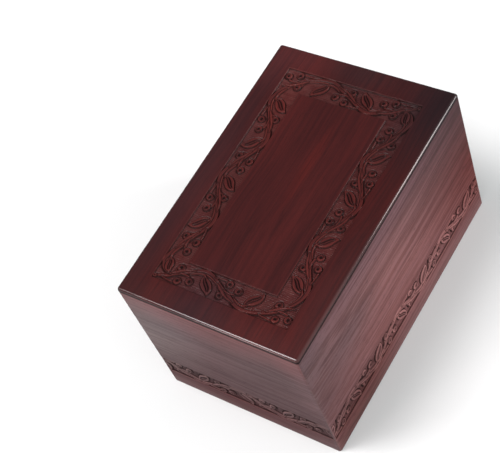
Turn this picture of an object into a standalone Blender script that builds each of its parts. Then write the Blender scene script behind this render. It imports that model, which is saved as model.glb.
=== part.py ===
import math

import bmesh
import bpy
from mathutils import Matrix, Vector

# A carved hardwood urn box. X runs along the length, Y across it, Z up from the underside, in metres.
LENGTH = 0.237
WIDTH = 0.152
HEIGHT = 0.138
GAP = 0.0003  # clearance between neighbouring pieces

# Side boards, mitred at the corners
WALL = 0.011
CORNER_RADIUS = 0.0022  # easing of the upright corners
EASE = 0.0006  # chamfer along the foot and under the lip
BAND_FOOT = 0.0185  # height of the carved band's lower edge

# Top board: a rounded lip on the walls and a thicker middle between them
LIP = 0.003
EDGE_RADIUS = 0.002
TOP_THICK = 0.012
BORDER_MARGIN = 0.019  # from the board's edge to the carved border

# Base panel, let into a rebate that leaves this much wall outside it
REBATE_LIP = 0.004
REBATE_HIGH = 0.008
PANEL_INSET = 0.0005  # the walls' rims stand this much lower than the panel

# Carving: a sunk band with a vine scroll standing up from its floor to about the board's face
BAND = 0.020
SUNK = 0.0013
CORNER_RISE = 0.0035  # over this length the floor of a wall's band rises to the face at the upright corners
ROOT = 0.0004  # how far the vine reaches below the floor, so that it is one with the board

# The stem swings from bend to bend. A quarter is the way from a bend to the next crossing of the middle.
WAVE = 0.0078
STEM_WIDE = 0.0040
STEM_THIN = 0.0024
STEM_PIECE = 0.0072  # about how long each straight piece of it is
STEM_TOP = -0.00015
LONG_WALL = (0.01812, 0.0674)  # quarter, and the place of a low bend from the wall's left end
SHORT_WALL = (0.0190, 0.0335)
LONG_BORDER = (0.0188, 0.0293)
SHORT_BORDER = (0.0180, 0.0370, 0.0560, 0.0760, 0.1000)  # crossings and bends after the vine's tip
BORDER_TIP = ((0.0015, -0.0078, 0.0012), (0.0100, -0.0042, 0.0038))  # along, across, and how wide
BORDER_TAIL = ((0.0066, -0.0068, 0.0032), (0.0104, -0.0030, 0.0024), (0.0116, 0.0018, 0.0012))

# Leaves and curls, placed along and across from their bend or crossing
LEAF = {"at": (0.0046, 0.0013), "lean": math.radians(57), "size": (0.0170, 0.0072)}
END_LEAF = {"at": (0.0056, -0.0030), "lean": math.radians(32), "size": (0.0118, 0.0054)}
LEAF_POINTS = 8
CURLS = (
    # centre of the curl, then the points that its stalk leaves the stem by
    ((-0.0010, 0.0047), ((-0.0030, 0.0004),)),
    ((0.0017, -0.0058), ((-0.0090, -0.0066), (-0.0035, -0.0078))),
    ((0.0106, -0.0032), ((-0.0010, 0.0000), (0.0070, 0.0004))),
)
CURL_R = 0.0029
CURL_SIDES = 6
CURL_CREST = 0.72  # share of the radius at which its rim stands
STALK_WIDE = 0.0022

# Finishes: name, base colour, roughness and metallic value
LACQUERED = ("lacquered_mahogany", (0.075, 0.018, 0.014, 1.0), 0.32, 0.0)
SEALED = ("sealed_mahogany", (0.062, 0.016, 0.013, 1.0), 0.62, 0.0)  # the base panel


def clear_scene():
    for obj in list(bpy.data.objects):
        bpy.data.objects.remove(obj, do_unlink=True)


def material(name, colour, roughness, metallic):
    made = bpy.data.materials.new(name)
    made.use_nodes = True
    made.diffuse_color = colour
    shader = made.node_tree.nodes["Principled BSDF"]
    shader.inputs["Base Color"].default_value = colour
    shader.inputs["Roughness"].default_value = roughness
    shader.inputs["Metallic"].default_value = metallic
    return made


def object_from(name, bm, finish=None):
    mesh = bpy.data.meshes.new(name)
    bm.to_mesh(mesh)
    bm.free()
    obj = bpy.data.objects.new(name, mesh)
    bpy.context.scene.collection.objects.link(obj)
    if finish:
        mesh.materials.append(finish)
    return obj


def as_helper(obj):
    obj.hide_render = True
    obj.display_type = "WIRE"
    return obj


def combine(obj, other, operation, overlapping=False):
    """Adds a Boolean of the helper to the object. overlapping is for a helper whose own parts run together."""
    step = obj.modifiers.new(operation.lower() + "_" + other.name, "BOOLEAN")
    step.operation = operation
    step.object = other
    step.solver = "EXACT"
    step.use_self = overlapping
    return obj


# Solids


def skin(bm, rings):
    """Closes a body over rings of points that turn anticlockwise about the way from the first to the last."""
    for near, far in zip(rings, rings[1:]):
        for i, vert in enumerate(near):
            j = (i + 1) % len(near)
            bm.faces.new((vert, near[j], far[j], far[i]))
    bm.faces.new(reversed(rings[0]))
    bm.faces.new(rings[-1])


def loft(levels, segments=2):
    """A body through rounded rectangles, each given as half length, half width, corner radius and height."""
    bm = bmesh.new()
    rings = []
    for half_x, half_y, radius, z in levels:
        ring = []
        for corner in range(4):
            middle_x = (half_x - radius) * (1 if corner in (0, 3) else -1)
            middle_y = (half_y - radius) * (1 if corner < 2 else -1)
            for step in range(segments + 1):
                turn = math.radians(90) * (corner + step / segments)
                x, y = middle_x + radius * math.cos(turn), middle_y + radius * math.sin(turn)
                ring.append(bm.verts.new((x, y, z)))
        rings.append(ring)
    skin(bm, rings)
    return bm


def block(centre, size):
    bm = bmesh.new()
    bmesh.ops.create_cube(bm, size=1.0, matrix=Matrix.Translation(centre) @ Matrix.Diagonal((*size, 1.0)))
    return bm


def prism(outline, low, high):
    """The outline, standing between two heights."""
    bm = bmesh.new()
    skin(bm, [[bm.verts.new((x, y, z)) for x, y in outline] for z in (low, high)])
    return bm


# The vine, made flat: X along the band, Y across it, Z out of the face, with the face at zero


def foot_height(bm):
    """Just below the floor, and no two neighbours in one plane, which would leave their union open."""
    return -SUNK - ROOT - 0.00002 * (len(bm.faces) % 9)


def dished(bm, outline, crest, crest_share, dip):
    """A boss on the outline: its sides rise to a smaller crest line, and its middle is hollowed down to dip."""
    middle = sum(outline, Vector((0, 0))) / len(outline)
    low = foot_height(bm)
    foot = [bm.verts.new((*point, low)) for point in outline]
    top = [bm.verts.new((*middle.lerp(point, crest_share), crest)) for point in outline]
    skin(bm, [foot, top])
    poked = bmesh.ops.poke(bm, faces=[top[0].link_faces[-1]])
    poked["verts"][0].co.z = dip


def leaf(bm, middle, lean, size):
    """A pointed leaf with a hollow down its middle. lean is its angle from the band's own direction."""
    long, wide = size
    along = Vector((math.cos(lean), math.sin(lean)))
    across = along.orthogonal()
    outline = []
    for step in range(LEAF_POINTS):
        turn = math.tau * step / LEAF_POINTS
        swell = abs(math.sin(turn)) ** 1.25 * math.copysign(1, math.sin(turn))
        outline.append(middle + along * (long / 2 * math.cos(turn)) + across * (wide / 2 * swell))
    dished(bm, outline, -0.0002, 0.72, -0.0009)


def curl(bm, middle):
    """The small round end of a tendril, with a drilled middle."""
    turns = [math.tau * step / CURL_SIDES for step in range(CURL_SIDES)]
    outline = [middle + CURL_R * Vector((math.cos(turn), math.sin(turn))) for turn in turns]
    dished(bm, outline, -0.0003, CURL_CREST, -0.0012)


def ribbon(bm, path, widths, ridge):
    """A ridge along the path. ridge gives its top as (share of the width, height) from left to right."""
    low = foot_height(bm)
    section = ((-0.5, low), *ridge, (0.5, low))
    rings = []
    for i, point in enumerate(path):
        ahead = path[min(i + 1, len(path) - 1)] - path[max(i - 1, 0)]
        side = Vector((ahead.y, -ahead.x)).normalized()
        ring = []
        for share, height in section:
            spot = point + side * (share * widths[i])
            ring.append(bm.verts.new((spot.x, spot.y, height)))
        rings.append(ring)
    skin(bm, rings)


def bend_through(before, start, end, after, t):
    """A point of the smooth line through four points, between the middle two."""
    return 0.5 * (
        2 * start
        + (end - before) * t
        + (2 * before - 5 * start + 4 * end - after) * t**2
        + (3 * start - before - 3 * end + after) * t**3
    )


def stem(bm, stops):
    """The stem from stop to stop, stout in each bend and thin where it crosses over."""
    points = [stop["at"] for stop in stops]
    points = [2 * points[0] - points[1], *points, 2 * points[-1] - points[-2]]
    path, widths = [], []
    for i, (stop, following) in enumerate(zip(stops, stops[1:])):
        steps = max(1, round((following["at"] - stop["at"]).length / STEM_PIECE))
        for t in (step / steps for step in range(steps)):
            path.append(bend_through(*points[i : i + 4], t))
            widths.append(stop["wide"] + (following["wide"] - stop["wide"]) * t)
    path.append(points[-2])
    widths.append(stops[-1]["wide"])
    ribbon(bm, path, widths, ((-0.25, STEM_TOP), (0.25, STEM_TOP)))


def dress(bm, stop):
    """The leaf of a bend, or the three curls of a crossing."""
    along, inward, side = stop["along"], stop["inward"], stop["side"]

    def spot(offset):
        return stop["middle"] + along * offset[0] + inward * (offset[1] * side)

    if stop["kind"] == "bend":
        shape = stop["leaf"]
        turn = shape["lean"] * side * math.copysign(1, along.cross(inward))
        leaf(bm, spot(shape["at"]), math.atan2(along.y, along.x) + turn, shape["size"])
    if stop["kind"] == "crossing":
        for centre, stalk in CURLS:
            path = [spot(point) for point in stalk]
            path.append(spot(centre) + (path[-1] - spot(centre)).normalized() * (CURL_CREST * CURL_R * 0.93))
            ribbon(bm, path, [STALK_WIDE] * len(path), ((0, -0.0004),))
            curl(bm, spot(centre))


class Band:
    """A straight band. Its places run along it from start, and inward is the direction across it."""

    def __init__(self, start, along, inward):
        self.start, self.along, self.inward = Vector(start), Vector(along), Vector(inward)

    def stop(self, kind, place, across, side, wide, leaf=LEAF):
        middle = self.start + self.along * place
        at = middle + self.inward * across
        return {
            "kind": kind,
            "middle": middle,
            "at": at,
            "along": self.along,
            "inward": self.inward,
            "side": side,
            "wide": wide,
            "leaf": leaf,
        }

    def swing(self, i, place, leaf=LEAF):
        """Stop i of the wave: 0 is its low bend, 1 a crossing inward, 2 its high bend, 3 a crossing back."""
        side = 1 if i % 4 < 2 else -1
        if i % 2:
            return self.stop("crossing", place, 0.0, side, STEM_THIN)
        return self.stop("bend", place, -WAVE * side, side, STEM_WIDE, leaf)


def wall_stops(length, quarter, bend):
    """The wave along a wall's band, past both its ends."""
    band = Band((-length / 2, 0), (1, 0), (0, 1))
    first, last = -math.ceil(bend / quarter) - 1, math.ceil((length - bend) / quarter) + 1
    return [band.swing(i, bend + i * quarter) for i in range(first, last + 1)]


def border_stops():
    """Half of the top border: down the left band, round the near corner and along the near band to its end."""
    half_x = LENGTH / 2 - BORDER_MARGIN
    half_y = WIDTH / 2 - BORDER_MARGIN
    down = Band((-half_x + BAND / 2, half_y), (0, -1), (1, 0))
    right = Band((-half_x, -half_y + BAND / 2), (1, 0), (0, 1))
    stops = [down.stop("plain", place, across, 1, wide) for place, across, wide in BORDER_TIP]
    stops += [down.swing(i, place) for i, place in enumerate(SHORT_BORDER, 1)]
    quarter, bend = LONG_BORDER
    stops += [right.swing(i, bend + i * quarter, END_LEAF if i == 8 else LEAF) for i in range(9)]
    last = bend + 8 * quarter
    stops += [right.stop("plain", last + place, across, 1, wide) for place, across, wide in BORDER_TAIL]
    return stops


def half_turned(stops):
    """The same stops turned half round the middle of the board."""
    return [{**stop, **{key: -stop[key] for key in ("middle", "at", "along", "inward")}} for stop in stops]


def vine(name, runs, place):
    """The carving of one board as a helper: runs of stem with their leaves and curls."""
    bm = bmesh.new()
    for stops in runs:
        stem(bm, stops)
        for stop in stops:
            dress(bm, stop)
    bm.transform(place)
    return as_helper(object_from(name, bm))


def carve(board, channel, carving):
    """Sinks the channel into the board, but leaves the carving standing in it."""
    as_helper(combine(channel, carving, "DIFFERENCE", overlapping=True))
    combine(board, channel, "DIFFERENCE")


# The pieces


def make_top_board(finish):
    half_x, half_y = LENGTH / 2, WIDTH / 2
    plug_x, plug_y = half_x - WALL - GAP, half_y - WALL - GAP
    seat = HEIGHT - LIP
    levels = [(plug_x, plug_y, 0.0005, HEIGHT - TOP_THICK), (plug_x, plug_y, 0.0005, seat)]
    levels.append((half_x, half_y, CORNER_RADIUS, seat))
    for step in range(4):
        turn = math.radians(30) * step
        back = EDGE_RADIUS * (1 - math.cos(turn))
        z = HEIGHT - EDGE_RADIUS * (1 - math.sin(turn))
        levels.append((half_x - back, half_y - back, CORNER_RADIUS - back, z))
    board = object_from("top_board", loft(levels), finish)

    outer = (LENGTH - 2 * BORDER_MARGIN, WIDTH - 2 * BORDER_MARGIN)
    high = 2 * SUNK
    channel = object_from("border_channel", block((0, 0, HEIGHT - SUNK + high / 2), (*outer, high)))
    panel_size = (outer[0] - 2 * BAND, outer[1] - 2 * BAND, 3 * high)
    panel = as_helper(object_from("border_panel", block((0, 0, HEIGHT), panel_size)))
    combine(channel, panel, "DIFFERENCE")
    runs = [border_stops(), half_turned(border_stops())]
    carve(board, channel, vine("border_vine", runs, Matrix.Translation((0, 0, HEIGHT))))


def make_wall(name, length, degrees, wave, finish):
    """One side board, made facing -Y and then turned about Z to its own side."""
    depth = WIDTH / 2 if length == LENGTH else LENGTH / 2
    half, face = length / 2, -depth
    trim = GAP / 2 * math.sqrt(2)  # what each mitre gives to the gap, along the board
    outline = []
    for step in range(3):
        turn = math.radians(22.5) * step
        x = half - CORNER_RADIUS + CORNER_RADIUS * math.sin(turn)
        outline.append((x, face + CORNER_RADIUS * (1 - math.cos(turn))))
    x, y = outline[-1]
    outline[-1] = (x - trim, y)
    outline.append((half - WALL - trim, face + WALL))
    outline += [(-x, y) for x, y in reversed(outline)]
    bm = prism(outline, 0, HEIGHT - LIP - GAP)
    rims = [
        edge
        for edge in bm.edges
        if all(vert.co.y < face + CORNER_RADIUS for vert in edge.verts)
        and abs(edge.verts[0].co.z - edge.verts[1].co.z) < EASE
    ]
    bmesh.ops.bevel(bm, geom=rims, offset=EASE, segments=1, affect="EDGES", clamp_overlap=True)
    turn = Matrix.Rotation(math.radians(degrees), 4, "Z")
    bm.transform(turn)
    wall = object_from(name, bm, finish)

    rebate_size = (LENGTH - 2 * REBATE_LIP, WIDTH - 2 * REBATE_LIP, 2 * REBATE_HIGH)
    combine(wall, as_helper(object_from(name + "_rebate", block((0, 0, 0), rebate_size))), "DIFFERENCE")

    rise = half - CORNER_RISE
    outline = [(-half, face - SUNK), (half, face - SUNK), (half, face), (rise, face + SUNK)]
    outline += [(-rise, face + SUNK), (-half, face)]
    channel = prism(outline, BAND_FOOT, BAND_FOOT + BAND)
    channel.transform(turn)
    stand_up = Matrix(((1, 0, 0, 0), (0, 0, -1, face), (0, 1, 0, BAND_FOOT + BAND / 2), (0, 0, 0, 1)))
    carving = vine(name + "_vine", [wall_stops(length, *wave)], turn @ stand_up)
    carve(wall, object_from(name + "_channel", channel), carving)


def make_base_panel(finish):
    size_x, size_y = LENGTH - 2 * (REBATE_LIP + GAP), WIDTH - 2 * (REBATE_LIP + GAP)
    thick = REBATE_HIGH - GAP - PANEL_INSET
    object_from("base_panel", block((0, 0, PANEL_INSET + thick / 2), (size_x, size_y, thick)), finish)


def main():
    clear_scene()
    wood = material(*LACQUERED)
    make_top_board(wood)
    for name, length, degrees, wave in (
        ("front_wall", LENGTH, 0, LONG_WALL),
        ("right_wall", WIDTH, 90, SHORT_WALL),
        ("back_wall", LENGTH, 180, LONG_WALL),
        ("left_wall", WIDTH, 270, SHORT_WALL),
    ):
        make_wall(name, length, degrees, wave, wood)
    make_base_panel(material(*SEALED))


main()
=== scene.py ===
import math

import bpy
import numpy as np
from mathutils import Matrix, Vector


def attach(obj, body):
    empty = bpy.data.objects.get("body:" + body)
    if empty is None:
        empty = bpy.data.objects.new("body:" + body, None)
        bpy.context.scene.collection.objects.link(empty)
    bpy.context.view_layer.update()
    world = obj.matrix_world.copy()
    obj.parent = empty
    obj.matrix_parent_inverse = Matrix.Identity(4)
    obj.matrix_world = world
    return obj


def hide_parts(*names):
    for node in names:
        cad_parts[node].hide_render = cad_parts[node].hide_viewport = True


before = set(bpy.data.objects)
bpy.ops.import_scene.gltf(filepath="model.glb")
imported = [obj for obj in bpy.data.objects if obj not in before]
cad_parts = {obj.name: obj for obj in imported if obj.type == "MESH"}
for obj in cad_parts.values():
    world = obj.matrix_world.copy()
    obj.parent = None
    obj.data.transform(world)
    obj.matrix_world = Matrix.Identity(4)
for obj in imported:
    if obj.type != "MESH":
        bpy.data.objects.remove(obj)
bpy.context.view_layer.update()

scene = bpy.context.scene

# sizes of the box in metres, as its solids have them
urn = {
    "long": 0.237, "wide": 0.152, "high": 0.138,
    "wall": 0.011, "gap": 0.0003, "cornerRadius": 0.0022,
    "lip": 0.003, "plugFoot": 0.126,
    "rebateLip": 0.004, "rebateHigh": 0.008,
    "smoothAngle": 28,  # a bend of fewer degrees is shaded smooth
}

# the vine scroll: a wave of stem with a leaf at each bend and curls at each crossing
vine = {
    "band": 0.020, "sunk": 0.0013, "margin": 0.019, "bandFoot": 0.0185, "cornerRise": 0.0035,
    "border": 0.0006,  # plain rows beyond the band, so that its edges are carved too
    "wave": 0.0078, "stemWide": 0.0040, "stemThin": 0.0024,
    "longWall": (0.01812, 0.0674), "shortWall": (0.0190, 0.0335),  # quarter of the wave, place of a low bend
    "longBorder": (0.0188, 0.0293), "shortBorder": (0.0180, 0.0370, 0.0560, 0.0760, 0.1000),
    "tip": ((0.0015, -0.0078, 0.0012), (0.0100, -0.0042, 0.0038)),  # along, across, how wide
    "tail": ((0.0066, -0.0068, 0.0032), (0.0104, -0.0030, 0.0024), (0.0116, 0.0018, 0.0012)),
    "leaf": {"at": (0.0046, 0.0013), "lean": 57, "size": (0.0170, 0.0074)},
    "endLeaf": {"at": (0.0056, -0.0030), "lean": 32, "size": (0.0130, 0.0060)},
    "tendril": {  # inside each bend, with across measured from the stem's lowest point
        "points": ((-0.0110, 0.0058), (-0.0060, 0.0031), (-0.0015, 0.0022), (0.0016, 0.0036)),
        "widths": (0.0005, 0.0011, 0.0013, 0.0006), "crest": -0.0002,
    },
    "frond": {  # beside each crossing
        "points": ((-0.0070, -0.0030), (-0.0020, 0.0006), (0.0040, 0.0042), (0.0110, 0.0062)),
        "widths": (0.0007, 0.0017, 0.0013, 0.0005), "crest": -0.0001,
    },
    "curls": (  # each one's middle, and the points of its stalk
        ((-0.0010, 0.0047), ((-0.0060, -0.0018), (-0.0040, 0.0010), (-0.0036, 0.0034))),
        ((0.0017, -0.0058), ((-0.0110, -0.0070), (-0.0060, -0.0076), (-0.0015, -0.0078))),
        ((0.0106, -0.0032), ((-0.0010, 0.0000), (0.0040, 0.0006), (0.0078, 0.0002))),
    ),
    "curlRadius": 0.0029, "curlHole": 0.0012, "stalk": 0.0016, "stalkTip": 0.0006,
    "stalkInto": 0.35,  # share of the way from the stalk's end to the curl's middle
}


def deselectAll():
    if bpy.context.mode != "OBJECT":
        bpy.ops.object.mode_set(mode="OBJECT")
    bpy.ops.object.select_all(action="DESELECT")


def smoothStep(t):
    t = np.clip(t, 0, 1)
    return t * t * (3 - 2 * t)


def hump(value, middle, reach):  # 1 at the middle, fading both ways
    return np.exp(-((value - middle) / reach) ** 2)


def crossed(a, b):  # above 0 where b points to the left of a
    return a[0] * b[1] - a[1] * b[0]


# the vine as paths


def stopAt(band, kind, place, across, side, wide, leafAt=None):
    start, along, inward = (np.array(part, float) for part in band)
    middle = start + along * place
    return {"kind": kind, "middle": middle, "at": middle + inward * across, "along": along,
            "inward": inward, "side": side, "wide": wide, "leaf": leafAt or vine["leaf"]}


def swing(band, i, place, leafAt=None):  # 0 is a low bend, 1 a crossing, 2 a high bend, 3 a crossing back
    side = 1 if i % 4 < 2 else -1
    if i % 2:
        return stopAt(band, "crossing", place, 0, side, vine["stemThin"])
    return stopAt(band, "bend", place, -vine["wave"] * side, side, vine["stemWide"], leafAt)


def wallStops(long, wave):  # runs on past both ends, so that the vine reaches the corners
    quarter, bend = wave
    band = ((-long / 2, 0), (1, 0), (0, 1))
    first, last = -math.ceil(bend / quarter) - 1, math.ceil((long - bend) / quarter) + 1
    return [swing(band, i, bend + i * quarter) for i in range(first, last + 1)]


def borderStops():  # down the left border and along the near one, which is half of the way round
    halfX, halfY = urn["long"] / 2 - vine["margin"], urn["wide"] / 2 - vine["margin"]
    down = ((-halfX + vine["band"] / 2, halfY), (0, -1), (1, 0))
    right = ((-halfX, -halfY + vine["band"] / 2), (1, 0), (0, 1))
    quarter, bend = vine["longBorder"]
    end = 8  # the near border's last bend, counted in quarters of the wave
    stops = [stopAt(down, "plain", place, across, 1, wide) for place, across, wide in vine["tip"]]
    stops += [swing(down, i, place) for i, place in enumerate(vine["shortBorder"], 1)]
    stops += [swing(right, i, bend + i * quarter, vine["endLeaf"] if i == end else None)
              for i in range(end + 1)]
    last = bend + end * quarter
    stops += [stopAt(right, "plain", last + place, across, 1, wide) for place, across, wide in vine["tail"]]
    return stops


def halfTurned(stops):
    return [{**stop, **{key: -stop[key] for key in ("middle", "at", "along", "inward")}} for stop in stops]


def smoothPath(points, widths, step):
    # a curve through the points in short steps, its width at each, and the number of each point's step
    ends = [2 * points[0] - points[1], *points, 2 * points[-1] - points[-2]]
    path, wide, knots = [], [], []
    for i in range(len(points) - 1):
        knots.append(len(path))
        a, b, c, d = ends[i:i + 4]
        count = max(2, int(np.hypot(*(c - b)) / step))
        for t in np.arange(count) / count:
            path.append(0.5 * (2 * b + (c - a) * t + (2 * a - 5 * b + 4 * c - d) * t**2
                               + (3 * b - a - 3 * c + d) * t**3))
            wide.append(widths[i] + (widths[i + 1] - widths[i]) * (3 * t * t - 2 * t**3))
    knots.append(len(path))
    return np.array(path + [points[-1]]), np.array(wide + [widths[-1]]), knots


def followPath(spots, path, reach):
    # how far each spot is from the path, on which side of it, and how far along it
    gap, side, place = np.full(len(spots), reach), np.zeros(len(spots)), np.zeros(len(spots))
    low, high = path.min(0) - reach, path.max(0) + reach
    inside = np.flatnonzero(np.all((spots > low) & (spots < high), axis=1))
    close = spots[inside]
    for i in range(len(path) - 1):
        start, run = path[i], path[i + 1] - path[i]
        long = np.hypot(*run)
        if long < 1e-9:
            continue
        far = reach + long
        near = np.flatnonzero((abs(close[:, 0] - start[0]) < far) & (abs(close[:, 1] - start[1]) < far))
        away = close[near] - start
        t = np.clip(away @ run / long**2, 0, 1)
        distance = np.hypot(*(away - t[:, None] * run).T)
        hit = inside[near]
        better = distance < gap[hit]
        hit = hit[better]
        gap[hit] = distance[better]
        place[hit] = i + t[better]
        side[hit] = np.sign(crossed(run, away[better].T))
    return gap, side, place


def alongPath(place, values):
    return np.interp(place, np.arange(len(values)), values)


# carving: heights from the board's face, and how much painted shade lies in them

carving = {
    "flank": 0.00042,  # how wide a raised edge's side is
    "outline": 0.0011, "outlineDeep": 0.0005, "outlineFlat": 1.15,  # the cut line round each form
    "brinkAt": 0.7, "plainWearAndHighlight": 0.25,  # wear and painted highlight are strongest just within a form's edge, in shares of the flank
    "groundFrom": 0.6,  # the ground is where the wood is cut nearly to the floor
    "toolPitch": 0.0015, "toolDeep": 0.00010, "toolWander": 2.2, "pitDeep": 0.00008,
    "wander": ((0.004, 0.006), 3), "spots": ((0.0022, 0.0050), 9),  # pitch and seed of the noise
    "pits": ((0.0007, 0.0012), 5),
    "groundTint": 0.62, "stripeTint": 0.22, "spotTint": 0.45,  # how the ground's colour varies
    "paintedShadeFade": 3,  # painted shade is full from a third of the band's depth down
    "footLine": 0.0008, "footFlat": 1.2,  # painted shade along the foot of the band's edges
    "edgeAt": -0.00005, "edgeWide": 0.00028, "edgeHighlight": 0.5,  # painted highlight along the band's edges
    "slopeFrom": 0.00012, "wallSlope": 0.00036, "borderSlope": 0.00038,  # side of the band
    "mattFade": 0.0003, "mattBeyond": 3,  # lacquer stops this many fades outside the band
}


def valueNoise(spots, pitch, seed):
    # smooth random heights between -1 and 1 on a lattice of the given pitch
    draw = np.random.RandomState(seed).uniform(-1, 1, (256, 256))
    cell = spots / np.array(pitch) + 1000
    whole = np.floor(cell).astype(int)
    part = smoothStep(cell - whole)
    (x, y), (fx, fy) = whole.T % 256, part.T
    x2, y2 = (x + 1) % 256, (y + 1) % 256
    near = draw[x, y] * (1 - fx) + draw[x2, y] * fx
    far = draw[x, y2] * (1 - fx) + draw[x2, y2] * fx
    return near * (1 - fy) + far * fy


def raiseForm(work, outside, crest, depth=1.0, shade=0.0, wearAndHighlight=0.35, line=carving["outline"]):
    # outside is the distance beyond the form's outline, negative within it
    flank, deep = carving["flank"], carving["outlineDeep"]
    ring = smoothStep(carving["outlineFlat"] - np.clip(outside, 0, None) / line)
    ring = ring * (outside > -flank) * depth
    cut = np.maximum(work["height"] - deep * ring, work["floor"] - deep)
    share = smoothStep(0.5 - outside / flank)
    # painted highlight and wear on the form, lightest along a line just within its edge
    brinkWide = carving["brinkAt"] * flank
    brink = hump(outside, -brinkWide, brinkWide) * wearAndHighlight
    work["height"] = cut * (1 - share) + crest * share
    # painted shade fills the cut line round the form and, within it, the form's own dark hollows
    work["paintedShade"] = np.maximum(work["paintedShade"], ring) * (1 - share) + shade * share
    work["wearAndHighlight"] = work["wearAndHighlight"] * (1 - share) + (carving["plainWearAndHighlight"] + brink) * share * (1 - shade)


stem = {
    "step": 0.0005, "reach": 0.0045, "crest": 0.00005, "round": 0.00035,
    "grooveAt": 0.40, "grooveWide": 0.17, "grooveDeep": 0.00060, "grooveDark": 0.9, "grooveFade": 1.6,
    "scratchAt": -0.30, "scratchWide": 0.10, "scratchDeep": 0.00010, "scratchDark": 0.1,
    "outer": {"depth": 1.0, "wearAndHighlight": 0.35, "line": 1.35},  # on the outside of a bend
    "inner": {"depth": 0.65, "wearAndHighlight": 0.75, "line": 0.8},
}


def carveStem(work, spots, stops):
    path, widths, knots = smoothPath(
        [stop["at"] for stop in stops], [stop["wide"] for stop in stops], stem["step"])
    sides = [stop["side"] * np.sign(crossed(stop["along"], stop["inward"])) for stop in stops]
    gap, side, place = followPath(spots, path, stem["reach"])
    half = alongPath(place, widths) / 2
    inner = np.interp(place, knots, sides)  # which side of the stem is the inside of its bend
    across = gap * side * inner / half  # -1 at the outer edge and 1 at the inner
    crest = -stem["crest"] - stem["round"] * np.clip(abs(across), 0, 1) ** 3
    groove = hump(across, stem["grooveAt"], stem["grooveWide"])
    groove = groove * np.clip(abs(inner) * stem["grooveFade"], 0, 1)  # it fades where the stem crosses over
    scratch = hump(across, stem["scratchAt"], stem["scratchWide"])
    crest = crest - stem["grooveDeep"] * groove - stem["scratchDeep"] * scratch
    depth, wearAndHighlight, line = (np.where(across < 0, stem["outer"][label], stem["inner"][label])
                         for label in ("depth", "wearAndHighlight", "line"))
    raiseForm(work, gap - half, crest, depth=depth, wearAndHighlight=wearAndHighlight, line=carving["outline"] * line,
              shade=stem["grooveDark"] * groove + stem["scratchDark"] * scratch)


stroke = {"step": 0.0003, "reach": 0.0035, "crest": -0.0003, "round": 0.0003, "depth": 0.8}


def carveStroke(work, spots, points, widths, crest=stroke["crest"]):
    path, wide, _ = smoothPath(points, widths, stroke["step"])
    gap, _, place = followPath(spots, path, stroke["reach"])
    half = alongPath(place, wide) / 2
    top = crest - stroke["round"] * np.clip(gap / np.maximum(half, 1e-5), 0, 1) ** 2
    raiseForm(work, gap - half, top, depth=stroke["depth"])


leaf = {
    "steps": 41, "reach": 0.0055, "bow": 0.0008, "fullness": 0.85, "crest": 0.00008, "round": 0.00030,
    "farSide": 1.25,  # the eye lies a little to one side
    "eyeWide": 0.52, "eyeEase": 0.12, "eyeLong": 0.39, "eyeEndEase": 0.08, "eyeAt": -0.02,
    "eyeDeep": 0.00090,
    "ribWide": 0.24, "ribEase": 0.14, "ribHigh": 0.00060, "ribPale": 0.80, "wearAndHighlight": 0.6,
}


def carveLeaf(work, spots, middle, along, across, size):
    long, wide = size
    t = np.linspace(-0.5, 0.5, leaf["steps"])
    bow = leaf["bow"] * np.sin(math.tau * t)  # the axis is a slight S
    path = middle + np.outer(t * long, along) + np.outer(bow, across)
    gap, side, place = followPath(spots, path, leaf["reach"])
    half = alongPath(place, wide / 2 * np.clip(np.cos(math.pi * t), 0, 1) ** leaf["fullness"])
    share = gap / np.maximum(half, 2e-4)
    run = alongPath(place, t)
    lean = share * np.where(side > 0, 1.0, leaf["farSide"])
    eye = smoothStep((leaf["eyeWide"] - lean) / leaf["eyeEase"])
    eye = eye * smoothStep((leaf["eyeLong"] - abs(run - leaf["eyeAt"])) / leaf["eyeEndEase"])
    rib = smoothStep((leaf["ribWide"] - lean) / leaf["ribEase"])
    top = -leaf["crest"] - leaf["round"] * np.clip(share, 0, 1) ** 3
    top = top - leaf["eyeDeep"] * eye + leaf["ribHigh"] * eye * rib
    raiseForm(work, gap - half, top, shade=eye * (1 - leaf["ribPale"] * rib), wearAndHighlight=leaf["wearAndHighlight"])


curl = {
    "slim": 0.90, "full": 0.12,  # the rim is fuller near the stalk
    "holeSlim": 0.85, "holeGrow": 0.2, "holeEase": 0.0005, "holeDeep": 0.0011,
    "wind": 1.3, "grooveWide": 0.00030, "grooveDeep": 0.0006, "grooveDark": 0.85,
    "grooveFrom": 0.25, "grooveEase": 0.2, "crest": 0.00008, "round": 0.00025, "wearAndHighlight": 0.7,
}


def carveCurl(work, spots, centre, turn, side):
    away = spots - centre
    distance = np.hypot(*away.T)
    angle = ((np.arctan2(away[:, 1], away[:, 0]) - turn) * side) % math.tau
    wind = angle / math.tau  # from the stalk round to its other side
    radius = vine["curlRadius"] * (curl["slim"] + curl["full"] * np.cos(angle / 2) ** 2)
    holeRadius = vine["curlHole"] * (curl["holeSlim"] + curl["holeGrow"] * wind)
    hole = smoothStep((holeRadius + curl["holeEase"] / 2 - distance) / curl["holeEase"])
    spiral = vine["curlHole"] + (vine["curlRadius"] - vine["curlHole"]) * wind ** curl["wind"]
    groove = hump(distance, spiral, curl["grooveWide"])
    groove = groove * smoothStep((wind - curl["grooveFrom"]) / curl["grooveEase"])
    top = -curl["crest"] - curl["round"] * np.clip(distance / radius, 0, 1) ** 4
    top = top - curl["holeDeep"] * hole - curl["grooveDeep"] * groove
    dark = np.maximum(hole, curl["grooveDark"] * groove)
    raiseForm(work, distance - radius, top, shade=dark, wearAndHighlight=curl["wearAndHighlight"])


dot = {  # at the tip of the vine
    "radius": 0.0014, "crest": -0.0003, "wearAndHighlight": 0.4,
    "hole": 0.0007, "ease": 0.0003, "deep": 0.0005, "dark": 0.8,
}


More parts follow.
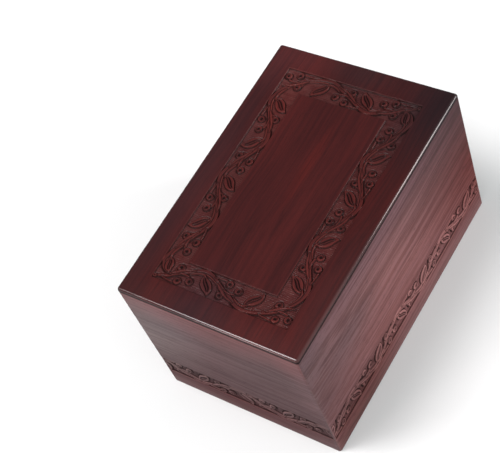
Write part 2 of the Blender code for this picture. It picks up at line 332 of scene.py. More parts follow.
def carveDot(work, spots, centre):
    distance = np.hypot(*(spots - centre).T)
    hole = smoothStep((dot["hole"] - distance) / dot["ease"])
    raiseForm(work, distance - dot["radius"], dot["crest"] - dot["deep"] * hole,
              shade=dot["dark"] * hole, wearAndHighlight=dot["wearAndHighlight"])


def dressStop(work, spots, stop):
    along, inward, side = stop["along"], stop["inward"], stop["side"]

    def spot(offset, lift=0.0):
        return stop["middle"] + along * offset[0] + inward * ((offset[1] + lift) * side)

    if stop["kind"] == "bend":
        shape, tendril = stop["leaf"], vine["tendril"]
        lean = math.radians(shape["lean"])
        axis = along * math.cos(lean) + inward * (side * math.sin(lean))
        beside = along * math.sin(lean) - inward * (side * math.cos(lean))
        carveLeaf(work, spots, spot(shape["at"]), axis, beside, shape["size"])
        points = [spot(point, -vine["wave"]) for point in tendril["points"]]
        carveStroke(work, spots, points, tendril["widths"], tendril["crest"])
    if stop["kind"] == "crossing":
        frond = vine["frond"]
        for centre, stalk in vine["curls"]:
            middle = spot(centre)
            points = [spot(point) for point in stalk]
            rim = points[-1] + (middle - points[-1]) * vine["stalkInto"]
            widths = np.linspace(vine["stalkTip"], vine["stalk"], len(points) + 1)
            carveStroke(work, spots, [*points, rim], widths)
            way = points[-1] - middle
            carveCurl(work, spots, middle, math.atan2(way[1], way[0]), side)
        carveStroke(work, spots, [spot(point) for point in frond["points"]], frond["widths"], frond["crest"])


def carveVine(spots, floor, within, runs, tips=()):
    # floor is the plain ground as a negative height, and within the distance inside the band's edges
    sink = np.clip(-floor / vine["sunk"], 0, 1)
    # painted shade along the foot of the band's edges
    foot = smoothStep(carving["footFlat"] - within / carving["footLine"]) * sink
    # painted highlight along the band's brinks
    brink = hump(within, carving["edgeAt"], carving["edgeWide"])
    work = {"height": floor.copy(), "floor": floor, "paintedShade": foot, "wearAndHighlight": carving["edgeHighlight"] * brink}
    for stops in runs:
        carveStem(work, spots, stops)
        for stop in stops:
            dressStop(work, spots, stop)
    for tip in tips:
        carveDot(work, spots, tip)
    depth = np.clip(-work["height"] / vine["sunk"], 0, 1)
    ground = depth * smoothStep((depth - carving["groundFrom"]) / (1 - carving["groundFrom"]))
    wander = carving["toolWander"] * valueNoise(spots, *carving["wander"])
    stripes = np.sin(math.tau * spots[:, 0] / carving["toolPitch"] + wander)
    tint = carving["groundTint"] + carving["stripeTint"] * stripes
    tint = np.clip(tint + carving["spotTint"] * valueNoise(spots, *carving["spots"]), 0, 1)
    rough = carving["toolDeep"] * stripes + carving["pitDeep"] * valueNoise(spots, *carving["pits"])
    height = np.minimum(work["height"] + ground * rough, 0.0)
    height = np.maximum(height, floor - carving["outlineDeep"] * sink)
    return height, {
        "paintedShade": np.clip(work["paintedShade"], 0, 1) * np.clip(carving["paintedShadeFade"] * sink, 0, 1),
        "ground": ground * tint,
        "wearAndHighlight": np.clip(work["wearAndHighlight"], 0, 1),
        "band": smoothStep(within / carving["mattFade"] + carving["mattBeyond"]),
    }


# materials


def newGroup(name, inputs, outputs):
    tree = bpy.data.node_groups.new(name, "ShaderNodeTree")
    for label, kind, value in inputs:
        socket = tree.interface.new_socket(name=label, in_out="INPUT", socket_type=kind)
        if value is not None:
            socket.default_value = value
    for label in outputs:
        tree.interface.new_socket(name=label, in_out="OUTPUT", socket_type="NodeSocketFloat")
    return tree, tree.nodes.new("NodeGroupInput"), tree.nodes.new("NodeGroupOutput")


def addNode(tree, kind, links=None, **values):
    node = tree.nodes.new(kind)
    for key, value in values.items():
        if hasattr(node, key):
            setattr(node, key, value)
        else:
            node.inputs[key.replace("_", " ")].default_value = value
    for socket, source in (links or {}).items():
        tree.links.new(source, node.inputs[socket])
    return node


def setOrLink(tree, socket, value):
    if isinstance(value, (int, float, tuple)):
        socket.default_value = value
    else:
        tree.links.new(value, socket)


def mathNode(tree, operation, *values, clamp=False):
    node = addNode(tree, "ShaderNodeMath", operation=operation, use_clamp=clamp)
    for i, value in enumerate(values):
        setOrLink(tree, node.inputs[i], value)
    return node.outputs[0]


def vectorNode(tree, operation, first, second):
    node = addNode(tree, "ShaderNodeVectorMath", operation=operation)
    setOrLink(tree, node.inputs[0], first)
    setOrLink(tree, node.inputs[1], second)
    return node


def rangeNode(tree, value, low, high, toLow=0.0, toHigh=1.0):
    node = addNode(tree, "ShaderNodeMapRange", {"Value": value}, interpolation_type="SMOOTHSTEP")
    for label, number in (("From Min", low), ("From Max", high), ("To Min", toLow), ("To Max", toHigh)):
        node.inputs[label].default_value = number
    return node.outputs["Result"]


def mixColour(tree, share, first, second, blend="MIX"):
    node = addNode(tree, "ShaderNodeMix", data_type="RGBA", blend_type=blend)
    for i, value in ((0, share), (6, first), (7, second)):
        setOrLink(tree, node.inputs[i], value)
    return node.outputs[2]


grainLayers = {  # fineness along and across the grain, detail, roughness, and what counts as 0 and as 1
    "Tone": ((7, 34, 34), 2.0, 0.5, 0.3, 0.7),
    "Streaks": ((11, 330, 330), 4.0, 0.62, 0.28, 0.72),
    "Pores": ((190, 2300, 2300), 1.0, 0.5, 0.60, 0.72),
    "Lines": ((7, 640, 640), 2.0, 0.6, 0.36, 0.64),
}


def grainGroup():
    # vector is in metres with X along the grain
    tree, start, end = newGroup(
        "mahoganyGrain",
        [("Vector", "NodeSocketVector", None), ("Arch", "NodeSocketFloat", 0.004),
         ("Bow", "NodeSocketFloat", 0.0), ("Bow From", "NodeSocketFloat", 0.0)],
        list(grainLayers),
    )
    split = addNode(tree, "ShaderNodeSeparateXYZ", {0: start.outputs["Vector"]})
    past = mathNode(tree, "SUBTRACT", split.outputs["X"], start.outputs["Bow From"])
    past = mathNode(tree, "MINIMUM", past, 0.0)
    rise = mathNode(tree, "MULTIPLY", mathNode(tree, "MULTIPLY", past, past), start.outputs["Bow"])
    place = addNode(tree, "ShaderNodeCombineXYZ", {
        0: split.outputs["X"], 1: mathNode(tree, "SUBTRACT", split.outputs["Y"], rise),
        2: mathNode(tree, "SUBTRACT", split.outputs["Z"], rise),
    }).outputs[0]
    drift = addNode(tree, "ShaderNodeTexNoise", {"Vector": place}, Scale=9.0, Detail=1.0)  # wanders slowly
    bend = vectorNode(tree, "SUBTRACT", drift.outputs["Color"], (0.5, 0.5, 0.5))
    push = addNode(tree, "ShaderNodeVectorMath", {0: bend.outputs[0]}, operation="SCALE")
    tree.links.new(start.outputs["Arch"], push.inputs["Scale"])
    bent = vectorNode(tree, "ADD", place, push.outputs[0]).outputs[0]
    for label, (fineness, detail, roughness, low, high) in grainLayers.items():
        stretched = vectorNode(tree, "MULTIPLY", bent, fineness).outputs[0]
        noise = addNode(tree, "ShaderNodeTexNoise", {"Vector": stretched},
                        Scale=1.0, Detail=detail, Roughness=roughness)
        tree.links.new(rangeNode(tree, noise.outputs["Fac"], low, high), end.inputs[label])
    return tree


grain = grainGroup()

# what all the boards share
finish = {
    "poreShare": 0.35, "paintedShadeShare": 0.93,
    "streakRough": 0.10, "carvedRough": 0.28,  # what streaks and carving add to the roughness
    "glass": 1.5,  # refraction of wood and lacquer
    "bumpStreaks": 0.4, "bumpLines": 0.4, "bumpPores": 0.5, "bumpHigh": 0.0001,
}


def lacqueredWood(name, degrees, values):  # degrees turn the grain from along X
    made = bpy.data.materials.new(name)
    made.use_nodes = True
    tree = made.node_tree
    shader = tree.nodes["Principled BSDF"]
    place = addNode(tree, "ShaderNodeTexCoord").outputs["Object"]
    turned = addNode(tree, "ShaderNodeMapping", {"Vector": place})
    turned.inputs["Location"].default_value = values["shift"]
    turned.inputs["Scale"].default_value = values["stretch"]
    turned.inputs["Rotation"].default_value = (0, 0, math.radians(degrees))
    wood = addNode(tree, "ShaderNodeGroup", node_tree=grain)
    tree.links.new(turned.outputs["Vector"], wood.inputs["Vector"])
    for label in ("Arch", "Bow", "Bow From"):
        wood.inputs[label].default_value = values[label]
    tone, streaks, pores, lines = (wood.outputs[label] for label in ("Tone", "Streaks", "Pores", "Lines"))
    paintedShade, ground, wearAndHighlight, band = (addNode(tree, "ShaderNodeAttribute", attribute_name=label).outputs["Fac"]
                                 for label in ("paintedShade", "ground", "wearAndHighlight", "band"))

    def weighted(value, share):
        return mathNode(tree, "MULTIPLY", value, share)

    colour = mixColour(tree, tone, values["dark"], values["light"])
    colour = mixColour(tree, weighted(streaks, values["streaks"]), colour, values["streak"])
    colour = mixColour(tree, weighted(lines, values["lines"]), colour, values["line"])
    colour = mixColour(tree, weighted(pores, finish["poreShare"]), colour, values["pore"])
    colour = mixColour(tree, weighted(ground, values["groundShare"]), colour, values["ground"])
    # painted highlight and wear: crests, brinks and corners lightened
    colour = mixColour(tree, weighted(wearAndHighlight, values["wearAndHighlightShare"]), colour, values["wearAndHighlight"])
    for centre, reach, tint in values["patches"]:
        away = vectorNode(tree, "SUBTRACT", place, centre)
        away = vectorNode(tree, "DIVIDE", away.outputs[0], reach)
        away = addNode(tree, "ShaderNodeVectorMath", {0: away.outputs[0]}, operation="LENGTH")
        near = rangeNode(tree, away.outputs["Value"], 1.0, 0.0)
        colour = mixColour(tree, near, colour, (*tint, 1), "MULTIPLY")
    # painted shade: hollows, cut lines, the foot of the band and the underside of the lip darkened
    colour = mixColour(tree, weighted(paintedShade, finish["paintedShadeShare"]), colour, values["shadeColour"])
    tree.links.new(colour, shader.inputs["Base Color"])

    carved = mathNode(tree, "MAXIMUM", paintedShade, weighted(band, values["matt"]))
    smoothest = values["roughness"] - finish["streakRough"] / 2
    rough = mathNode(tree, "MULTIPLY_ADD", streaks, finish["streakRough"], smoothest)
    rough = mathNode(tree, "ADD", rough, weighted(carved, finish["carvedRough"]))
    tree.links.new(rough, shader.inputs["Roughness"])
    shine = weighted(mathNode(tree, "SUBTRACT", 1.0, carved, clamp=True), values["coat"])
    tree.links.new(shine, shader.inputs["Coat Weight"])
    shader.inputs["Coat Roughness"].default_value = values["coatRoughness"]
    shader.inputs["Coat IOR"].default_value = finish["glass"]
    shader.inputs["IOR"].default_value = finish["glass"]
    shader.inputs["Specular IOR Level"].default_value = values["specular"]

    fine = weighted(streaks, finish["bumpStreaks"])
    fine = mathNode(tree, "ADD", fine, weighted(lines, finish["bumpLines"]))
    fine = mathNode(tree, "SUBTRACT", fine, weighted(pores, finish["bumpPores"]))
    bump = addNode(tree, "ShaderNodeBump", {"Height": fine})
    bump.inputs["Strength"].default_value = values["bump"]
    bump.inputs["Distance"].default_value = finish["bumpHigh"]
    tree.links.new(bump.outputs["Normal"], shader.inputs["Normal"])
    return made


# a patch is where in the box it lies, how far it reaches and what it multiplies the colour by
topLook = {
    "shift": (0.0, 0.0, 0.0), "stretch": (1, 1, 1), "Arch": 0.010, "Bow": 0.0, "Bow From": 0.0,
    "dark": (0.031, 0.0050, 0.0054, 1), "light": (0.048, 0.0072, 0.0071, 1),
    "streak": (0.018, 0.0042, 0.0050, 1), "streaks": 0.60,
    "line": (0.068, 0.0105, 0.0095, 1), "lines": 0.22,
    "pore": (0.012, 0.003, 0.003, 1), "ground": (0.072, 0.0220, 0.0205, 1), "groundShare": 0.60,
    "wearAndHighlight": (0.110, 0.021, 0.017, 1), "wearAndHighlightShare": 0.75, "matt": 0.92, "shadeColour": (0.005, 0.0016, 0.0016, 1),
    "roughness": 0.45, "specular": 0.08, "coat": 0.90, "coatRoughness": 0.13, "bump": 0.3,
    "patches": (
        ((-0.114, -0.048, 0.138), (0.040, 0.045, 0.05), (1.50, 1.36, 1.25)),
        ((0.112, -0.070, 0.138), (0.100, 0.055, 0.05), (0.38, 0.82, 1.05)),
        ((0.112, 0.000, 0.138), (0.028, 0.040, 0.05), (0.86, 1.45, 1.55)),
        ((0.112, 0.060, 0.138), (0.050, 0.050, 0.05), (1.55, 1.90, 1.90)),
        ((0.000, 0.072, 0.138), (0.150, 0.030, 0.05), (1.00, 1.45, 1.60)),
        ((0.010, -0.070, 0.138), (0.080, 0.030, 0.05), (0.95, 0.72, 0.70)),
        ((0.025, -0.003, 0.138), (0.060, 0.007, 0.05), (1.42, 1.12, 1.00)),
        ((-0.110, 0.010, 0.138), (0.050, 0.040, 0.05), (0.80, 1.22, 1.45)),
        ((-0.058, -0.047, 0.138), (0.050, 0.018, 0.05), (1.30, 1.28, 1.28)),
        ((0.062, 0.047, 0.138), (0.045, 0.018, 0.05), (1.32, 1.22, 1.16)),
    ),
}
# the long walls' lighter, greyer colours are partly the wood's own and partly painted light and a painted
# sheen of the lacquer; some of their patches paint light and shade as well
frontLook = {
    **topLook, "shift": (0.31, 0.17, 0.05), "stretch": (1, 0.55, 0.55),
    "Arch": 0.006, "Bow": 0.50, "Bow From": 0.27,
    "dark": (0.115, 0.0445, 0.0435, 1), "light": (0.162, 0.0635, 0.0605, 1),
    "streak": (0.066, 0.027, 0.029, 1), "streaks": 0.44,
    "line": (0.234, 0.110, 0.113, 1), "lines": 0.52,
    "pore": (0.03, 0.012, 0.012, 1), "ground": (0.080, 0.032, 0.031, 1), "groundShare": 0.50,
    "wearAndHighlight": (0.39, 0.182, 0.172, 1), "wearAndHighlightShare": 1.0, "shadeColour": (0.006, 0.0022, 0.0024, 1),
    "specular": 0.05, "coat": 0.15, "coatRoughness": 0.18,
    "patches": (
        ((0.130, -0.076, 0.126), (0.150, 0.05, 0.090), (0.34, 0.26, 0.30)),
        ((0.140, -0.076, 0.065), (0.130, 0.05, 0.085), (0.58, 0.29, 0.26)),
        ((0.000, -0.076, 0.139), (0.220, 0.05, 0.040), (0.68, 0.72, 0.82)),
        ((-0.135, -0.076, 0.080), (0.130, 0.05, 0.110), (0.54, 0.66, 0.71)),
        ((-0.080, -0.076, 0.000), (0.090, 0.05, 0.040), (0.55, 0.38, 0.34)),
        ((-0.070, -0.076, 0.030), (0.060, 0.05, 0.018), (0.66, 0.66, 0.66)),
        ((-0.118, -0.076, 0.126), (0.050, 0.05, 0.040), (0.78, 0.88, 0.90)),
        ((-0.062, -0.076, 0.090), (0.050, 0.05, 0.026), (0.82, 0.91, 0.94)),
        ((0.065, -0.076, 0.030), (0.110, 0.05, 0.016), (1.15, 1.20, 1.22)),
        ((-0.130, 0.076, 0.080), (0.110, 0.05, 0.100), (0.72, 1.12, 1.14)),  # on the back wall
    ),
}
# the short walls' greyish colours are a painted sheen of the lacquer, and some of their patches paint light
# and shade
sideLook = {
    **topLook, "shift": (0.77, 0.43, 0.21), "stretch": (0.7, 1, 0.7),
    "Arch": 0.005,
    "dark": (0.072, 0.0415, 0.044, 1), "light": (0.098, 0.055, 0.0575, 1),
    "streak": (0.048, 0.0295, 0.032, 1), "streaks": 0.45,
    "line": (0.120, 0.074, 0.078, 1), "lines": 0.40,
    "pore": (0.02, 0.009, 0.009, 1), "ground": (0.030, 0.014, 0.014, 1), "groundShare": 0.70,
    "wearAndHighlight": (0.175, 0.106, 0.104, 1), "wearAndHighlightShare": 1.0,
    "specular": 0.035, "coat": 0.10, "coatRoughness": 0.18,
    "patches": (
        ((-0.1185, 0.000, 0.145), (0.05, 0.160, 0.050), (1.68, 1.18, 1.14)),
        ((-0.1185, 0.085, 0.080), (0.05, 0.080, 0.075), (1.50, 2.00, 1.90)),
        ((-0.1185, -0.080, 0.080), (0.05, 0.030, 0.060), (1.25, 1.25, 1.25)),
        ((-0.1185, 0.000, 0.000), (0.05, 0.140, 0.035), (0.93, 0.38, 0.38)),
        ((-0.1185, 0.035, 0.115), (0.05, 0.045, 0.050), (1.12, 1.22, 1.24)),
        ((-0.1185, -0.070, 0.122), (0.05, 0.025, 0.035), (1.30, 1.15, 1.15)),
    ),
}
baseLook = {
    **topLook, "shift": (1.3, 0.9, 0.4), "coat": 0.05, "roughness": 0.62, "bump": 0.5, "patches": (),
    "dark": (0.035, 0.0085, 0.008, 1), "light": (0.060, 0.0145, 0.013, 1),
}


# boards


def readAll(items, label, width=1, kind=float):
    values = np.empty(len(items) * width, kind)
    items.foreach_get(label, values)
    return values.reshape(-1, width) if width > 1 else values


def setPoints(mesh, points):
    mesh.vertices.foreach_set("co", points.ravel())
    mesh.update()


def addLayers(mesh, layers):
    for label, values in layers.items():
        layer = mesh.attributes.new(label, "FLOAT", "POINT")
        layer.data.foreach_set("value", values.astype(np.float32))


def selectPart(board, kind, rule):
    # rule takes the mesh and gives its edges or faces, and which of them are wanted
    bpy.ops.mesh.select_mode(type=kind)
    bpy.ops.mesh.select_all(action="DESELECT")
    bpy.ops.object.mode_set(mode="OBJECT")
    items, wanted = rule(board.data)
    items.foreach_set("select", wanted)
    bpy.ops.object.mode_set(mode="EDIT")


def selectEdges(board, rule):
    # rule takes the two ends of every edge as arrays and says which edges are wanted
    def pick(mesh):
        ends = readAll(mesh.vertices, "co", 3)[readAll(mesh.edges, "vertices", 2, int)]
        return mesh.edges, rule(ends[:, 0], ends[:, 1])

    selectPart(board, "EDGE", pick)


def selectFaces(board, rule):
    # rule takes the middle and the normal of every face as arrays and says which faces are wanted
    selectPart(board, "FACE", lambda mesh: (
        mesh.polygons, rule(readAll(mesh.polygons, "center", 3), readAll(mesh.polygons, "normal", 3))))


def addField(size, counts, at, rotation=(0, 0, 0)):
    # a fine grid of the given size, standing or lying at its place, left in edit mode
    deselectAll()
    bpy.ops.mesh.primitive_grid_add(x_subdivisions=counts[0], y_subdivisions=counts[1], size=1,
                                    location=at, rotation=rotation)
    field = bpy.context.active_object
    bpy.ops.object.transform_apply(location=True, rotation=True, scale=True)
    bpy.ops.object.mode_set(mode="EDIT")
    bpy.ops.mesh.select_all(action="SELECT")
    bpy.ops.transform.resize(value=size, center_override=at)
    return field


def extrude(move):
    bpy.ops.mesh.extrude_region_move(TRANSFORM_OT_translate={"value": move})


def faceOutwards():
    bpy.ops.mesh.select_all(action="SELECT")
    bpy.ops.mesh.normals_make_consistent(inside=False)
    bpy.ops.object.mode_set(mode="OBJECT")


def finishBoard(board, node, look):
    board.name = node + "_carved"
    mesh = board.data
    mesh.name = board.name
    mesh.materials.clear()
    mesh.materials.append(look)
    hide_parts(node)
    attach(board, "root")
    print("board", node, len(mesh.polygons), "faces")


wallShape = {
    "pitch": 0.00027,  # of the carved band's grid
    "mitre": 0.00002,  # what each end gives to the joint
    "ease": 0.0007, "easeTurns": (30, 60, 90),  # rounding of the foot and of the edge under the lip
    "lipShadePast": 0.9,  # how much of that rounding the painted shade under the lip covers
    "crispBelow": -0.5,  # steep cuts are shaded smooth above this height, with the band from -1 to 1
    # painted light on the rounded upright corners
    "arrisLight": 0.12,
}


def wallSection(top, lower):
    # up the face, over the top and down the back to the foot, as distance inward and height
    ease, wall, turns = wallShape["ease"], urn["wall"], np.radians(wallShape["easeTurns"])
    section = [(0, top - ease)] + [(ease * (1 - math.cos(t)), top - ease * (1 - math.sin(t))) for t in turns]
    section += [(wall, top), (wall, urn["rebateHigh"])]
    section += [(urn["rebateLip"], urn["rebateHigh"]), (urn["rebateLip"], 0)]
    section += [(ease * (1 - math.sin(t)), ease * (1 - math.cos(t))) for t in (0, *turns)]
    return section + [(0, lower)]


def wallBlank(face, half, middle, reach, top):
    # the board before it is carved, with a fine grid over the band and ends cut at 45 degrees
    counts = round(2 * half / wallShape["pitch"]), round(2 * reach / wallShape["pitch"])
    board = addField((2 * half, 1, 2 * reach), counts, (0, face, middle), (math.pi / 2, 0, 0))
    upper = middle + reach
    selectEdges(board, lambda a, b: (a[:, 2] > upper - 1e-5) & (b[:, 2] > upper - 1e-5))
    inward, height = 0, upper
    for nextInward, nextHeight in wallSection(top, middle - reach):
        extrude((0, nextInward - inward, nextHeight - height))
        squeeze = (half - nextInward) / (half - inward)
        bpy.ops.transform.resize(value=(squeeze, 1, 1), center_override=(0, 0, 0))
        inward, height = nextInward, nextHeight
    bpy.ops.mesh.select_all(action="SELECT")
    bpy.ops.mesh.remove_doubles(threshold=0.00001)
    for end in (-1, 1):
        selectEdges(board, lambda a, b: np.all([
            end * p[:, 0] > half - (p[:, 1] - face) - 1e-5 for p in (a, b)], axis=0))
        bpy.ops.mesh.edge_face_add()
    faceOutwards()
    return board


def roundCorners(points, along, inward, height, face, half):
    # bends the ends of the face round the upright corners and sets the carved heights
    radius, wall = urn["cornerRadius"], urn["wall"]
    turn = np.clip((abs(along) - (half - radius)) / radius, 0, 1) * math.pi / 4
    frontX = np.minimum(abs(along), half - radius) + radius * np.sin(turn)
    frontY = radius * (1 - np.cos(turn))
    backX = abs(along) * (1 - wall / half)
    share = inward / wall
    points[:, 0] = np.sign(along) * (frontX * (1 - share) + backX * share + np.sin(turn) * height)
    points[:, 1] = face + frontY * (1 - share) + wall * share - np.cos(turn) * height
    return points


def makeWall(node, long, depth, degrees, wave, look):
    band, ease = vine["band"], wallShape["ease"]
    face, half = -depth / 2, long / 2 - wallShape["mitre"]
    middle, reach = vine["bandFoot"] + band / 2, band / 2 + vine["border"]
    top = urn["high"] - urn["lip"] - urn["gap"]
    board = wallBlank(face, half, middle, reach, top)

    points = readAll(board.data.vertices, "co", 3)
    inward = points[:, 1] - face
    along = points[:, 0] / (1 - inward / half)
    onFace = inward < 1e-6
    carved = onFace & (abs(points[:, 2] - middle) < reach + 1e-6)
    spots = np.stack((along[carved], points[carved, 2] - middle), axis=1)
    rise = smoothStep((half - abs(spots[:, 0])) / vine["cornerRise"])
    within = band / 2 - abs(spots[:, 1])
    floor = -vine["sunk"] * rise * smoothStep((within + carving["slopeFrom"]) / carving["wallSlope"])
    height = np.zeros(len(points))
    height[carved], marks = carveVine(spots, floor, within, [wallStops(long, wave)])
    layers = {label: np.zeros(len(points)) for label in marks}
    for label, values in marks.items():
        layers[label][carved] = values * rise
    # painted shade under the lip, darkest right under it
    underLip = inward < wallShape["lipShadePast"] * ease
    layers["paintedShade"] += np.clip((points[:, 2] - top) / ease + 1, 0, 1) * underLip
    # painted light on the rounded upright corners
    arris = smoothStep((abs(along) - half) / urn["cornerRadius"] + 1) * onFace
    layers["wearAndHighlight"] = np.maximum(layers["wearAndHighlight"], wallShape["arrisLight"] * arris)
    setPoints(board.data, roundCorners(points, along, inward, height, face, half))
    addLayers(board.data, layers)

    bpy.ops.object.shade_smooth_by_angle(angle=math.radians(urn["smoothAngle"]))
    edges = board.data.edges
    gentle = carved & (points[:, 2] > middle + wallShape["crispBelow"] * reach)
    gentle = np.all(gentle[readAll(edges, "vertices", 2, int)], axis=1)
    edges.foreach_set("use_edge_sharp", readAll(edges, "use_edge_sharp", 1, bool) & ~gentle)
    board.rotation_euler.z = math.radians(degrees)
    bpy.ops.object.transform_apply(location=True, rotation=True, scale=True)
    finishBoard(board, node, look)


topShape = {
    "pitch": 0.00036, "round": 0.002, "roundSteps": 6, "cornerSteps": 5,
    "lipShadeFrom": 0.0008, "lipShadeFade": 0.0012, "lipShadeDark": 0.95,  # painted shade on the lower part of the lip's rounding and below
}


def makeBorder(high):
    # the carved band round the upper face, open within and without
    border = vine["border"]
    outX, outY = urn["long"] / 2 - vine["margin"], urn["wide"] / 2 - vine["margin"]
    inX, inY = outX - vine["band"], outY - vine["band"]
    fieldX, fieldY = outX + border, outY + border
    counts = round(2 * fieldX / topShape["pitch"]), round(2 * fieldY / topShape["pitch"])
    field = addField((2 * fieldX, 2 * fieldY, 1), counts, (0, 0, high))
    selectFaces(field, lambda middles, normals: (
        (abs(middles[:, 0]) < inX - border) & (abs(middles[:, 1]) < inY - border)))
    bpy.ops.mesh.delete(type="FACE")
    bpy.ops.object.mode_set(mode="OBJECT")

    points = readAll(field.data.vertices, "co", 3)
    spots = points[:, :2].copy()
    beyondX, beyondY = abs(spots[:, 0]), abs(spots[:, 1])
    within = np.minimum(outX - beyondX, outY - beyondY)  # distance inside the band's outer edge
    outside = np.maximum(beyondX - inX, beyondY - inY)  # distance outside its inner edge
    within = np.minimum(within, outside)
    floor = -vine["sunk"] * smoothStep((within + carving["slopeFrom"]) / carving["borderSlope"])
    stops = borderStops()
    tips = (stops[0]["at"], -stops[0]["at"])
    height, layers = carveVine(spots, floor, within, [stops, halfTurned(stops)], tips)
    points[:, 2] += height
    setPoints(field.data, points)
    addLayers(field.data, layers)
    bpy.ops.object.shade_smooth()
    return field


def makeLip(high):
    # the rounded board that lies on the walls, with the plug that drops between them, open on top
    halfX, halfY, lip = urn["long"] / 2, urn["wide"] / 2, urn["lip"]
    deselectAll()
    bpy.ops.mesh.primitive_cube_add(size=1, location=(0, 0, high - lip / 2))
    rim = bpy.context.active_object
    rim.scale = (2 * halfX, 2 * halfY, lip)
    bpy.ops.object.transform_apply(location=True, rotation=True, scale=True)
    bpy.ops.object.mode_set(mode="EDIT")
    selectEdges(rim, lambda a, b: abs(a[:, 2] - b[:, 2]) > lip / 2)
    bpy.ops.mesh.bevel(offset=urn["cornerRadius"], segments=topShape["cornerSteps"], affect="EDGES")
    selectEdges(rim, lambda a, b: (a[:, 2] > high - 1e-6) & (b[:, 2] > high - 1e-6))
    bpy.ops.mesh.bevel(offset=topShape["round"], segments=topShape["roundSteps"], affect="EDGES")
    selectFaces(rim, lambda middles, normals: normals[:, 2] < -0.9)  # the underside
    seat = urn["wall"] + urn["gap"]
    extrude((0, 0, 0))
    inset = (1 - seat / halfX, 1 - seat / halfY, 1)
    bpy.ops.transform.resize(value=inset, center_override=(0, 0, high - lip))
    extrude((0, 0, urn["plugFoot"] - high + lip))
    selectFaces(rim, lambda middles, normals: normals[:, 2] > 0.999)  # the flat upper face
    bpy.ops.mesh.delete(type="ONLY_FACE")
    bpy.ops.object.mode_set(mode="OBJECT")
    bpy.ops.object.shade_smooth_by_angle(angle=math.radians(urn["smoothAngle"]))
    # painted shade from partway down the lip's rounding
    below = high - topShape["lipShadeFrom"] - readAll(rim.data.vertices, "co", 3)[:, 2]
    addLayers(rim.data, {"paintedShade": np.clip(below / topShape["lipShadeFade"], 0, 1) * topShape["lipShadeDark"]})
    return rim


def makeTop(look):
    field = makeBorder(urn["high"])
    rim = makeLip(urn["high"])
    field.select_set(True)
    rim.select_set(True)
    bpy.context.view_layer.objects.active = field
    bpy.ops.object.join()
    bpy.ops.object.mode_set(mode="EDIT")
    bpy.ops.mesh.select_mode(type="EDGE")
    bpy.ops.mesh.select_all(action="DESELECT")
    bpy.ops.mesh.select_non_manifold(extend=False, use_wire=True, use_boundary=True,
                                     use_multi_face=False, use_non_contiguous=False, use_verts=False)
    bpy.ops.mesh.fill(use_beauty=False)  # the plain margin and the plain panel
    bpy.ops.mesh.faces_shade_flat()
    faceOutwards()
    finishBoard(field, "top_board", look)


def finishBase(look):
    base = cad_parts["base_panel"]
    for holder in base.material_slots:
        holder.material = look
    if not base.material_slots:
        base.data.materials.append(look)


print("stage: materials")
topWood = lacqueredWood("lacqueredTop", 0, topLook)
frontWood = lacqueredWood("lacqueredLong", 0, frontLook)
sideWood = lacqueredWood("lacqueredShort", -90, sideLook)
baseWood = lacqueredWood("sealedBase", 0, baseLook)

print("stage: boards")
makeTop(topWood)
makeWall("front_wall", urn["long"], urn["wide"], 0, vine["longWall"], frontWood)
makeWall("right_wall", urn["wide"], urn["long"], 90, vine["shortWall"], sideWood)
makeWall("back_wall", urn["long"], urn["wide"], 180, vine["longWall"], frontWood)
makeWall("left_wall", urn["wide"], urn["long"], 270, vine["shortWall"], sideWood)
finishBase(baseWood)

# floor, lights and camera

print("stage: studio")
studio = {
    "floor": (0.735, 0.768, 0.770, 1), "floorRough": 0.9, "floorShine": 0.1,
    "floorSize": 8, "floorDrop": 0.0002,
    "main": {"at": (-0.67, 0.90, 2.47), "size": (0.90, 1.50), "power": 65.0, "colour": (1.0, 0.93, 0.93)},
    "fill": {"at": (1.12, -1.68, 0.86), "size": (0.46, 1.40), "power": 30.0, "colour": (1.0, 0.91, 0.91)},
    "side": {"at": (-2.02, 0.88, 0.52), "size": (0.40, 0.80), "power": 10.0, "colour": (1.0, 0.80, 0.80)},
    "aim": (0, 0, 0.05),
    "sky": (0.97, 1, 1, 1), "skyFar": 0.10, "skyNear": 0.95, "nearWay": (-0.46, -0.60, 0.65), "nearWide": 0.9,
    "horizon": 0.55, "horizonHigh": 0.5,
    "lens": 100.8, "sensor": 36, "clip": 0.05,
}


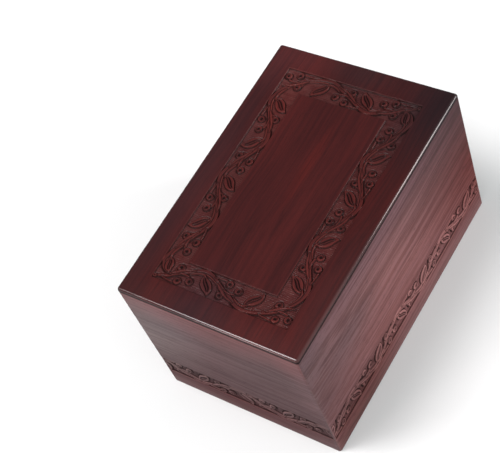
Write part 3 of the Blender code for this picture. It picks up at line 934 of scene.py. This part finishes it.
def addFloor():
    deselectAll()
    bpy.ops.mesh.primitive_plane_add(size=studio["floorSize"], location=(0, 0, -studio["floorDrop"]))
    floor = bpy.context.active_object
    floor.name = "studio_floor"
    made = bpy.data.materials.new("paleFloor")
    made.use_nodes = True
    shader = made.node_tree.nodes["Principled BSDF"]
    shader.inputs["Base Color"].default_value = studio["floor"]
    shader.inputs["Roughness"].default_value = studio["floorRough"]
    shader.inputs["Specular IOR Level"].default_value = studio["floorShine"]
    floor.data.materials.append(made)


def addLight(name, values):
    light = bpy.data.lights.new(name, "AREA")
    light.shape, light.energy, light.color = "RECTANGLE", values["power"], values["colour"]
    light.size, light.size_y = values["size"]
    lamp = bpy.data.objects.new(name, light)
    scene.collection.objects.link(lamp)
    way = Vector(studio["aim"]) - Vector(values["at"])
    lamp.matrix_world = Matrix.Translation(values["at"]) @ way.to_track_quat("-Z", "Y").to_matrix().to_4x4()


def addSky():
    # brighter towards nearWay and near the horizon
    world = bpy.data.worlds.new("studioSky")
    scene.world = world
    world.use_nodes = True
    tree = world.node_tree
    back = tree.nodes["Background"]
    way = addNode(tree, "ShaderNodeTexCoord").outputs["Generated"]
    height = addNode(tree, "ShaderNodeSeparateXYZ", {0: way}).outputs["Z"]
    facing = vectorNode(tree, "DOT_PRODUCT", way, studio["nearWay"]).outputs["Value"]
    dome = rangeNode(tree, facing, 0.0, studio["nearWide"], studio["skyFar"], studio["skyNear"])
    glow = rangeNode(tree, height, 0.0, studio["horizonHigh"], studio["horizon"], 0.0)
    tree.links.new(mathNode(tree, "ADD", dome, glow), back.inputs["Strength"])
    back.inputs["Color"].default_value = studio["sky"]


def addCamera():
    lens = bpy.data.cameras.new("photoView")
    lens.lens, lens.sensor_width, lens.clip_start = studio["lens"], studio["sensor"], studio["clip"]
    camera = bpy.data.objects.new("photoView", lens)
    scene.collection.objects.link(camera)
    camera.matrix_world = Matrix((  # solved from the photo's view of the box
        (0.4998286, 0.77977847, -0.37698397, -0.40921079),
        (-0.82602876, 0.29827046, -0.47823762, -0.46142507),
        (-0.26047621, 0.55043644, 0.79320355, 0.92080313),
        (0, 0, 0, 1),
    ))
    scene.camera = camera


addFloor()
addLight("mainLight", studio["main"])
addLight("fillLight", studio["fill"])
addLight("sideLight", studio["side"])
addSky()
addCamera()
scene.view_settings.view_transform = "Standard"
